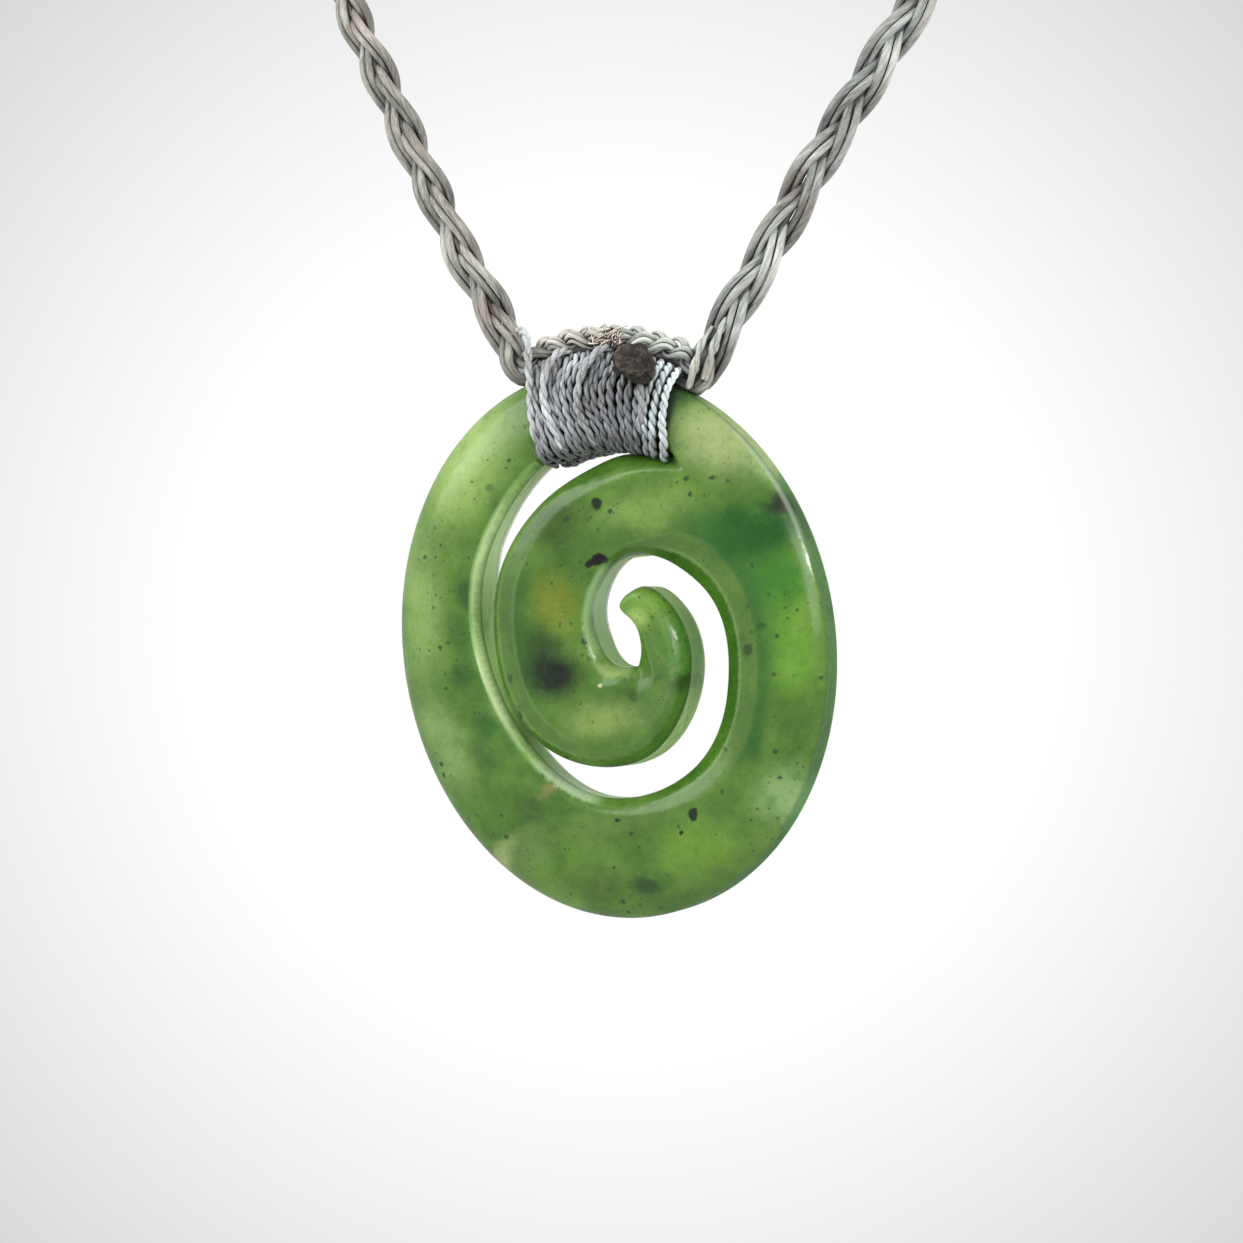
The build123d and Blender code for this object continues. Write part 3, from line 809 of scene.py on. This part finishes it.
class Tubes:
    """Round threads gathered into one mesh, each with a tone and a whole number of its own in its uv."""

    def __init__(self):
        self.places, self.faces, self.uvs, self.tones = [], [], [], []
        self.count = 0
        self.threads = 0

    def add(self, path, radius, sides, reference, tone):
        """path in millimetres, a direction that it never follows, and a tone, each also point by point."""
        rings = len(path)
        side, normal = across_path(path, reference)
        angle = full_turn(sides)
        round_it = side[:, None] * np.cos(angle)[:, None] + normal[:, None] * np.sin(angle)[:, None]
        radius = np.broadcast_to(radius, (rings,))[:, None, None]
        self.places.append((path[:, None] + round_it * radius).reshape(-1, 3))
        tone = np.column_stack([np.broadcast_to(tone, (rings, 3)), np.ones(rings)])
        self.tones.append(np.repeat(tone, sides, 0))
        self.faces += (tube_faces(rings, sides) + self.count).tolist()
        length = lengths(path)
        i, j = ring_steps(rings, sides)
        around = np.stack([j, j + 1, j + 1, j], 1) / sides * 0.999 + self.threads
        along = np.stack([length[i], length[i], length[i + 1], length[i + 1]], 1)
        self.uvs.append(np.stack([around, along], 2).reshape(-1, 2))
        first = self.count + np.arange(sides)
        self.faces += [first[::-1].tolist(), (first + (rings - 1) * sides).tolist()]
        self.uvs += [np.tile([self.threads, end], (sides, 1)) for end in (0.0, length[-1])]
        self.count += rings * sides
        self.threads += 1

    def add_fibre(self, corners, radius, tone):
        """One loose fibre through a few given points."""
        self.add(through(corners, 0.12), radius, 5, (0.31, -0.9, 0.3), tone)

    def build(self, name, material, slot, node):
        made = mesh_object(name, np.vstack(self.places), self.faces, material)
        layer = made.data.uv_layers.new(name="along")
        layer.data.foreach_set("uv", np.vstack(self.uvs).astype(np.float32).ravel())
        add_mark(made.data, "tone", "FLOAT_COLOR", "color", np.vstack(self.tones))
        finish_piece(made, node)


def waver(length, scale, size):
    """Smooth random wandering along a thread, about this far over about this length."""
    knots = max(4, int(length[-1] / scale) + 3)
    values = rng.normal(0, size, knots)
    where = length / length[-1] * (knots - 1)
    index = np.clip(where.astype(int), 0, knots - 2)
    share = ease(where - index, 0, 1)
    return values[index] * (1 - share) + values[index + 1] * share


def thread_material(name, dark, light, warm, twist, ply_depth, roughness):
    """Waxed thread: plies from its twist, fibres, and a tone of its own for each thread."""
    shader = Shader(bpy.data.materials.new(name))
    uv = shader.node("ShaderNodeUVMap", uv_map="along").outputs[0]
    split = shader.node("ShaderNodeSeparateXYZ", {"Vector": uv})
    around, along = split.outputs[0], split.outputs[1]
    place = shader.node("ShaderNodeTexCoord").outputs["Object"]
    turn = shader.math("ADD", shader.times(around, PLIES), shader.times(along, twist))
    ply = shader.math("ABSOLUTE", shader.math("SINE", shader.times(turn, math.pi)))
    wander = shader.noise(place, 900.0, 3.0, 0.6)
    stretched = (shader.times(turn, 4.0), shader.times(along, 0.7), around)
    fibre = shader.noise(shader.ordered("ShaderNodeCombineXYZ", stretched).outputs[0], 1.0, 3.0, 0.7)
    slow = shader.noise(place, 160.0, 2.0)
    tone = shader.math("MULTIPLY_ADD", slow, 0.5, shader.times(fibre, 0.6))
    colour = shader.mix(shader.ramp(tone, 0.3, 0.8), dark, light)
    tint = shader.ramp(shader.noise(place, 240.0, 2.0), 0.5, 0.72, 0.0, 0.6)
    colour = shader.mix(tint, colour, warm)
    colour = shader.mix(1.0, colour, shader.attribute("tone", "Color"), "MULTIPLY")
    groove = shader.ramp(ply, 0.0, 0.4, 1.0 - ply_depth, 1.0)
    shade = shader.node("ShaderNodeAmbientOcclusion", {"Distance": 0.001}, samples=4).outputs["AO"]
    shade = shader.times(groove, shader.ramp(shade, 0.2, 0.84, 0.04, 1.0))
    grey = shader.ordered("ShaderNodeCombineXYZ", [shade] * 3).outputs[0]
    colour = shader.mix(1.0, colour, grey, "MULTIPLY")
    relief = shader.math("MULTIPLY_ADD", ply, ply_depth, shader.times(fibre, 0.6))
    relief = shader.math("ADD", relief, shader.times(wander, 0.3))
    return shader.principled(
        Base_Color=colour,
        Roughness=roughness,
        Sheen_Weight=0.2,
        Sheen_Roughness=0.4,
        Normal=shader.bump(relief, 0.0001, 0.8),
    )


# Plaited cord

# Where the right arm runs round behind the neck, which the left arm mirrors
NECK_ROUTE = [
    (64.0, -60.0, -46.4), (58.5, -33.0, -22.0), (47.0, -13.4, -9.0), (34.0, -0.5, -1.9),
    (21.0, 3.75, 0.0), (9.0, 3.75, 0.0),
]
# Where the two arms run, as in the part's source, but with their feet drawn in beside the binding
LEFT_ROUTE = [
    (-4.4, -128.0, -179.2), (-6.2, -128.0, -179.9), (-8.3, -128.0, -180.5), (-9.9, -127.7, -177.1),
    (-12.6, -127.0, -172.8), (-17.7, -125.9, -164.5), (-23.8, -124.3, -153.0), (-30.6, -122.6, -140.5),
    (-48.0, -110.5, -107.9), (-60.0, -88.1, -76.0), *((-x, y, z) for x, y, z in NECK_ROUTE),
]
RIGHT_ROUTE = [
    (5.2, -128.0, -179.9), (7.3, -128.0, -180.7), (9.2, -128.0, -182.2), (9.9, -128.0, -179.6),
    (11.9, -127.4, -175.7), (17.0, -126.2, -166.6), (24.7, -124.4, -153.5), (32.0, -122.6, -141.9),
    (49.0, -110.5, -108.9), (60.5, -88.1, -76.5), *NECK_ROUTE,
]
# The stretches over the rim, pulled tight, which meet in the middle
LEFT_RIDGE = [
    (0.4, -128.6, -177.4), (-1.6, -128.6, -177.45), (-4.1, -128.6, -177.85),
    (-5.8, -128.6, -178.4), (-7.4, -128.3, -179.5),
]
RIGHT_RIDGE = [
    (-0.2, -128.6, -177.4), (2.6, -128.6, -177.6), (4.6, -128.6, -177.95),
    (6.4, -128.6, -178.5), (8.2, -128.5, -179.4), (9.0, -128.2, -180.8),
]
NECK_MIDDLE = np.array([0.0, -62.0])
PLAIT_STEP = 0.42
PLAIT_PITCH = 19.6  # length in which a strand comes back to its side
PLAIT_SWING = (1.14, 0.56)  # how far a strand swings aside, and over the others
PLAIT_THREADS = [(-0.37, 0.0), (0.37, 0.0)]  # places of a strand's threads: beside, and out
THREAD_RADIUS = 0.4
CORE_RADIUS = 0.34  # a thread in the plait's middle, which closes it
RIDGE_PITCH = 6.2
RIDGE_SWING = (0.6, 0.52)
RIDGE_THREADS = [(0.0, 0.0), (0.4, 0.0), (0.12, 0.38), (-0.32, 0.23), (-0.32, -0.23), (0.12, -0.38)]
RIDGE_RADIUS = 0.23
BED_PLACE, BED_RADIUS = (0.0, 0.3, -1.0), 0.75  # the cord's underside, below the stretch


def even_line(places, spacing):
    """The same line with evenly spaced points, and the length up to each."""
    length = lengths(places)
    where = np.linspace(0, length[-1], int(length[-1] / spacing) + 1)
    return np.stack([np.interp(where, length, places[:, i]) for i in range(3)], 1), where


def smooth_route(route):
    """The middle line of one arm, evenly spaced: a smooth curve with the route as its control points."""
    data = bpy.data.curves.new("route", "CURVE")
    data.dimensions = "3D"
    data.resolution_u = 40
    spline = data.splines.new("NURBS")
    spline.points.add(len(route) - 1)
    for point, place in zip(spline.points, route):
        point.co = (*(MM * value for value in place), 1.0)
    spline.order_u = 3
    spline.use_endpoint_u = True
    curve = bpy.data.objects.new("route", data)
    line = bpy.data.meshes.new_from_object(curve)
    places = np.array([vertex.co for vertex in line.vertices]) / MM
    bpy.data.objects.remove(curve)
    bpy.data.meshes.remove(line)
    return even_line(places, PLAIT_STEP)


def add_plait(tubes, line, length, face, turn, taper, swing, threads, radius, tone):
    """Three strands of a few threads each, crossing over one another along a line."""
    across_size, out_size = swing
    way = unit(np.gradient(line, axis=0))
    face = unit(face - (face * way).sum(1)[:, None] * way)
    across = np.cross(way, face)
    for strand in range(3):
        phase = turn + strand * 2 * math.pi / 3
        aside = across_size * (np.sin(phase) + waver(length, 6, 0.05))
        rise = out_size * (-np.sin(2 * phase) + waver(length, 6, 0.06))
        middle = line + across * (aside * taper)[:, None] + face * (rise * taper)[:, None]
        strand_way = unit(np.gradient(middle, axis=0))
        beside = unit(np.cross(strand_way, face))
        for offset, height in threads:
            shift = offset * taper + waver(length, 4, 0.04)
            lift = height * taper + waver(length, 5, 0.05)
            path = middle + beside * shift[:, None] + face * lift[:, None]
            thick = radius * (1 + rng.uniform(-0.08, 0.1) + waver(length, 5, 0.06))
            own = tone * (1 + rng.uniform(-0.2, 0.2)) * (1 + rng.uniform(-0.03, 0.03, 3))
            # painted light and shade: a strand is lighter where it lies over the others and darker where
            # it lies under them
            own = own * (1 + 0.3 * np.clip(rise / out_size, -1, 1))[:, None]
            tubes.add(path, thick, 8, face, own)


def plait(route, ridge, start_turn, ridge_turn, tone):
    """One arm of the necklace from beside the binding to the toggle, and its stretch over the rim."""
    tubes = Tubes()
    line, length = smooth_route(route)
    outward = unit(np.column_stack([line[:, :2] - NECK_MIDDLE, np.zeros(len(line))]))
    turned = ease(length, 4, 14)[:, None]
    face = np.array([0.0, -1.0, 0.0]) * (1 - turned) + outward * turned
    pitch = PLAIT_PITCH * (1 + waver(length, 14, 0.05)) * (0.72 + 0.28 * ease(length, 3, 12))
    turn = start_turn + np.concatenate([[0], np.cumsum(2 * math.pi * np.diff(length) / pitch[1:])])
    taper = 1 - 0.55 * ease(length, length[-1] - 9, length[-1] - 1)
    taper = taper * (0.6 + 0.4 * ease(length, 2.0, 8.0))
    shade = np.outer(0.42 + 0.58 * ease(length, 2.6, 5.2), tone)
    add_plait(tubes, line, length, face, turn, taper, PLAIT_SWING, PLAIT_THREADS, THREAD_RADIUS, shade)
    # the core is dark: painted shade in the gaps between the strands
    tubes.add(line, CORE_RADIUS, 8, face, shade * 0.3)
    line, length = even_line(through(ridge, 0.1), 0.2)
    face = np.array([0.0, -0.5, 1.0])
    turn = ridge_turn + length * 2 * math.pi / RIDGE_PITCH
    shade = np.outer(1 - 0.5 * ease(length, length[-1] - 2.6, length[-1] - 1.0), tone)
    add_plait(tubes, line, length, face, turn, np.ones(len(line)), RIDGE_SWING, RIDGE_THREADS,
              RIDGE_RADIUS, shade * 1.55)
    tubes.add(line + BED_PLACE, BED_RADIUS, 12, face, shade * 0.35)
    return tubes


# A springy fibre beside the left arm, and two threads laid down over the right arm's foot
LOOSE_FIBRE = [
    (-8.6, -129.4, -176.9), (-9.5, -129.7, -175.7), (-9.1, -129.6, -175.2), (-8.3, -129.3, -175.9),
    (-7.9, -129.2, -177.4),
]
LOOSE_THREADS = [
    [(10.3, -128.0, -177.0), (9.9, -128.9, -177.9), (9.6, -129.45, -179.0), (9.1, -129.6, -180.8),
     (8.5, -129.2, -182.3)],
    [(11.7, -127.8, -176.2), (11.2, -128.6, -177.4), (10.6, -129.1, -179.4), (9.85, -128.9, -181.6)],
]


def make_plaits(material):
    left = plait(LEFT_ROUTE, LEFT_RIDGE, 1.1, 0.4, (0.9, 0.87, 0.82))
    right = plait(RIGHT_ROUTE, RIGHT_RIDGE, 0.6, 2.0, (0.96, 0.99, 0.97))
    left.add_fibre(LOOSE_FIBRE, 0.05, (1.3, 1.2, 1.1))
    for corners in LOOSE_THREADS:
        add_twisted(right, through(corners, 0.12), (0.3, -0.9, 0.3), 4.6, np.array([1.7, 1.76, 1.66]))
    # the frayed ends where the two stretches over the rim meet
    for _ in range(70):
        foot = np.array([rng.uniform(-0.5, 2.3), -129.9 + rng.normal(0, 0.2), -177.8 + rng.normal(0, 0.4)])
        top = foot + [rng.normal(0.3, 0.8), rng.normal(0.5, 0.3), rng.uniform(0.2, 0.95)]
        bend = (foot + top) / 2 + rng.normal(0, 0.16, 3)
        right.add_fibre([foot, bend, top], 0.06, np.array([3.6, 3.1, 2.8]) * rng.uniform(0.7, 1.1))
    left.build("plait_left", material, "cord", "cord_left")
    right.build("plait_right", material, "cord", "cord_right")


# Binding

BINDING_TOP = (-0.112, 0.533)
BINDING_LOW = (-0.120, 0.462)
TURNS = 18
PLY_RADIUS, PLY_OFFSET = 0.235, 0.17
PLY_LAYS = [(0.0, 3.4), (0.7, 2.7), (1.0, 1.7)]  # length of one whole twist
# How far the turns are pushed to the right, from the first to the last: at their lower ends,
# below their upper ends, and at their tops
LOW_SHIFT = [(0, 0.1), (0.12, 0.35), (0.3, 0.65), (0.5, 0.6), (0.7, 0.35), (0.85, 0.1), (1, 0.2)]
HIGH_SHIFT = [(0, -0.3), (0.12, -0.45), (0.3, -0.6), (0.5, -0.5), (0.7, -0.3), (0.85, 0.0), (1, 0.15)]
TOP_SHIFT = [(0, 0.0), (0.15, 0.1), (0.5, 0.35), (0.8, 0.25), (1, 0.1)]
BINDING_SAG = [(0.0, -0.6), (0.25, 0.1), (0.5, 0.5), (0.65, 1.1), (0.8, 1.3), (0.92, 1.0), (1.0, 0.4)]


def rim_low(across):
    """Height of the rim's inner wall above the gap at this place across the stone."""
    ring = RINGS[0]
    after = np.roll(ring, -1, 0)
    cross = (ring[:, 0] - across) * (after[:, 0] - across) <= 0
    share = (across - ring[cross, 0]) / (after[cross, 0] - ring[cross, 0] + 1e-9)
    return (ring[cross, 1] + share * (after[cross, 1] - ring[cross, 1])).max()


def turn_section(height, sag):
    """Half of one turn round the rim and the cord's foot, from its low to its high end: up and out."""
    return [
        (-0.42 - 0.2 * sag, 0.0), (-0.45 - 0.4 * sag, 1.6), (-0.4 - 0.62 * sag, 2.6),
        (-0.4 * sag, 3.4), (0.7, 3.78), (1.6, 3.86), (height * 0.5, 3.86), (height - 2.3, 3.72),
        (height - 1.1, 3.42), (height - 0.1, 2.95), (height + 0.75, 2.25), (height + 1.3, 1.4),
        (height + 1.5, 0.6), (height + 1.5, 0.0),
    ]


def add_twisted(tubes, path, reference, lay, tone):
    """A thread of two plies twisted round each other along a path."""
    length = lengths(path)
    side, normal = across_path(path, reference)
    start = rng.uniform(0, 2 * math.pi)
    angle = start + 2 * math.pi * length / lay + waver(length, 3.0, 0.5)
    thick = 1 + waver(length, 2.5, 0.06)
    for ply in (0, math.pi):
        around = side * np.cos(angle + ply)[:, None] + normal * np.sin(angle + ply)[:, None]
        own = tone * (1 + rng.uniform(-0.1, 0.1))
        tubes.add(path + around * (PLY_OFFSET * thick)[:, None], PLY_RADIUS * thick, 7, reference, own)


# The thread's start, which comes down beside the left arm, and stray turns over the others
STRAY_TURNS = [
    ([(-8.5, -128.2, -176.4), (-7.5, -129.3, -176.8), (-6.75, -130.3, -177.7), (-6.3, -131.1, -179.3),
      (-5.8, -131.75, -182.2), (-5.6, -131.85, -184.5), (-5.3, -131.7, -186.4), (-5.0, -131.0, -187.6)],
     1.25),
    ([(-3.0, -129.0, -178.7), (-3.3, -130.5, -178.7), (-3.9, -131.7, -179.8), (-4.3, -132.25, -182.4),
      (-3.6, -132.2, -185.2), (-3.0, -131.8, -186.8), (-2.7, -131.0, -187.8)], 1.3),
    ([(0.9, -129.0, -178.5), (0.7, -130.5, -178.6), (0.1, -131.6, -179.5), (-0.9, -132.2, -182.0),
      (-0.6, -132.2, -185.0), (0.1, -131.8, -186.4), (0.3, -131.0, -187.2)], 1.05),
    ([(5.8, -131.2, -179.6), (5.0, -132.1, -182.0), (5.2, -132.3, -184.0), (4.9, -131.9, -185.8),
      (4.8, -131.0, -186.8)], 0.95),
]
TURN_TONE = np.array([0.86, 0.87, 0.88])
PALE_TONE = np.array([0.9, 1.03, 0.98])  # what the last turns have on top of it
STRAY_TONE = np.array([1.0, 1.0, 0.98])


def make_binding(material):
    """One thread wound round the rim and the cord's foot, turn beside turn."""
    tubes = Tubes()
    along_rim = hung([(1.0, -0.15, 0.0)]) - KORU_CENTRE
    for turn in range(TURNS):
        share = (turn + 0.5) / TURNS
        ends = [(a + (b - a) * share) * HALF_WIDTH for a, b in (BINDING_LOW, BINDING_TOP)]
        top = np.array([ends[1], HALF_HEIGHT * math.sqrt(1 - (ends[1] / HALF_WIDTH) ** 2)])
        low = np.array([ends[0], rim_low(ends[0])])
        height = np.linalg.norm(top - low)
        half = turn_section(height, looked_up(share, BINDING_SAG))
        back = [(up, -out) for up, out in half[-2:0:-1]]
        section = through(half + back + [half[0]], 0.13)
        level = section[:, 0] / height
        at_low, at_high, at_top = (looked_up(share, rows) for rows in (LOW_SHIFT, HIGH_SHIFT, TOP_SHIFT))
        lean = at_low * (1 - ease(level, -0.2, 0.7)) + at_high * ease(level, -0.2, 0.7)
        lean = lean + (at_top - at_high) * ease(level, 0.7, 1.15)
        length = np.linspace(0, 1, len(section)) * 24
        aside = lean * ease(section[:, 1], 0.0, 2.0) + waver(length, 2.4, 0.09)
        aside = aside + np.linspace(-0.5, 0.5, len(section)) * 0.72 + 0.1
        out = section[:, 1] * (1 + waver(length, 2.4, 0.018))
        rise = (top - low) / height
        beside = np.array([rise[1], -rise[0]])
        flat = low + rise * section[:, :1] + beside * aside[:, None]
        path = np.column_stack([flat, out])
        path[1:-1] = (path[:-2] + 2 * path[1:-1] + path[2:]) / 4
        tone = TURN_TONE * (1 + rng.uniform(-0.18, 0.18)) + PALE_TONE * ease(share, 0.78, 0.86)
        lit = 0.5 + 0.5 * ease(level, -0.02, 0.2) + 0.4 * ease(level, 0.82, 1.0)
        lay = looked_up(share, PLY_LAYS)
        add_twisted(tubes, hung(path), along_rim, lay, np.outer(lit, tone))
    for corners, shade in STRAY_TURNS:
        add_twisted(tubes, through(corners, 0.13), along_rim, 3.0, STRAY_TONE * shade)
    tubes.build("binding_turns", material, "thread", "binding")


# Melted end

def middle_and_half(node):
    """The middle of a node's box in the part's source, and half its size."""
    low, high = (np.array(corner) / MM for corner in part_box(node))
    return (low + high) / 2, (high - low) / 2


def make_knot(material):
    """Burnt lump that ends the binding thread."""
    middle, size = middle_and_half("thread_knot")
    bpy.ops.mesh.primitive_ico_sphere_add(subdivisions=6, radius=1)
    knot = bpy.context.object
    knot.name = "melted_knot"
    places = np.array([vertex.co for vertex in knot.data.vertices])
    swell = np.ones(len(places))
    for scale, strength in ((1.6, 0.16), (3.4, 0.1), (7.5, 0.05), (15.0, 0.025)):
        wave = rng.normal(0, 1, (5, 3)) * scale
        shift = rng.uniform(0, 6.28, 5)
        swell += strength * np.sin(places @ wave.T + shift).sum(1) / 2.2
    places = places * swell[:, None] * size * (0.92, 1.0, 1.15) + middle - (0.0, 0.0, 0.2)
    knot.data.vertices.foreach_set("co", (places * MM).ravel())
    knot.data.materials.append(material)
    knot.data.shade_smooth()
    finish_piece(knot, "thread_knot")


def knot_material():
    shader = Shader(bpy.data.materials.new("melted_thread"))
    place = shader.node("ShaderNodeTexCoord").outputs["Object"]
    coarse = shader.noise(place, 1100.0, 3.0, 0.65)
    fine = shader.noise(place, 3500.0, 2.0, 0.6)
    colour = shader.mix(shader.ramp(coarse, 0.42, 0.72), srgb(18, 14, 11), srgb(92, 76, 58))
    colour = shader.mix(shader.ramp(fine, 0.66, 0.76), colour, srgb(170, 156, 130))
    relief = shader.bump(shader.math("ADD", coarse, fine), 0.00025)
    return shader.principled(Base_Color=colour, Roughness=0.42, Normal=relief)


# Toggle

def make_toggle(material):
    """Smooth stone barrel with a narrow neck at each end."""
    middle, (half, _, radius) = middle_and_half("toggle")
    profile = through(
        [(0, 0.9), (0.5, 1.2), (0.35, 1.95), (1.0, 2.45), (3.2, 3.2), (6.0, 3.66), (half, radius)], 0.22
    )
    mirrored = np.column_stack([2 * half - profile[:, 0], profile[:, 1]])[::-1][1:]
    profile = np.vstack([profile, mirrored])
    count = 64
    angle = full_turn(count)
    rings = [
        np.column_stack([np.full(count, x - half), r * np.cos(angle), r * np.sin(angle)])
        for x, r in profile
    ]
    faces = tube_faces(len(rings), count).tolist()
    toggle = mesh_object("toggle_barrel", np.vstack(rings) + middle, faces, material)
    finish_piece(toggle, "toggle")


# Surroundings

def floor_material():
    shader = Shader(bpy.data.materials.new("floor"))
    return shader.principled(Base_Color=srgb(240, 240, 240), Roughness=0.9)


def make_light(name, place, target, size, power):
    data = bpy.data.lights.new(name, "AREA")
    data.shape = "RECTANGLE"
    data.size, data.size_y = size
    data.energy = power
    light = add_object(name, data)
    light.location = place
    way = Vector(target) - Vector(place)
    light.rotation_euler = way.to_track_quat("-Z", "Y").to_euler()
    light.visible_camera = False


def make_world():
    """Pale studio all round, whitest straight behind the pendant, as on the photograph's backdrop."""
    world = bpy.data.worlds.new("studio")
    bpy.context.scene.world = world
    shader = Shader(world, "ShaderNodeOutputWorld")
    direction = shader.node("ShaderNodeTexCoord").outputs["Generated"]
    along = shader.math("MAXIMUM", shader.vector("DOT_PRODUCT", direction, BACKDROP_WAY), 0.3)
    tangent = shader.math("POWER", shader.math("SUBTRACT", shader.math("POWER", along, -2.0), 1.0), 0.5)
    light = shader.math("MULTIPLY_ADD", tangent, BACKDROP_FALL, BACKDROP_TOP)
    light = shader.ordered("ShaderNodeClamp", (light, BACKDROP_LEAST, 1.0)).outputs[0]
    background = shader.node("ShaderNodeBackground", {"Color": light})
    shader.tree.links.new(background.outputs[0], shader.out.inputs[0])


def make_surroundings():
    make_world()
    bpy.context.scene.view_settings.view_transform = "Standard"
    middle = tuple(KORU_CENTRE * MM)
    make_light("key", (-0.42, -0.55, 0.18), middle, (0.5, 0.5), 2.5)
    make_light("behind_right", (0.3, 0.55, -0.15), middle, (0.4, 0.6), 0.62)
    make_light("right", (0.46, -0.35, -0.03), middle, (0.16, 0.24), 0.45)
    make_light("glint", (0.42, -0.202, -0.006), (0.0197, -0.1297, -0.1974), (0.03, 0.03), 0.45)
    bpy.ops.mesh.primitive_circle_add(vertices=96, radius=1.4, fill_type="NGON", location=(0, -0.1, -0.75))
    floor = bpy.context.object
    floor.name = "floor"
    floor.data.materials.append(floor_material())


make_camera()
make_surroundings()
jade = jade_material("jade", roughness=0.17, specular=0.3)
make_stone(jade, jade_material("jade_walls", roughness=0.45, specular=0.1))
make_plaits(thread_material(
    "plaited_thread", srgb(78, 78, 74), srgb(206, 208, 203), srgb(150, 138, 130),
    twist=0.25, ply_depth=0.25, roughness=0.4,
))
make_binding(thread_material(
    "binding_thread", srgb(98, 99, 102), srgb(226, 230, 232), srgb(152, 150, 152),
    twist=1.2, ply_depth=0.3, roughness=0.42,
))
make_knot(knot_material())
make_toggle(jade)
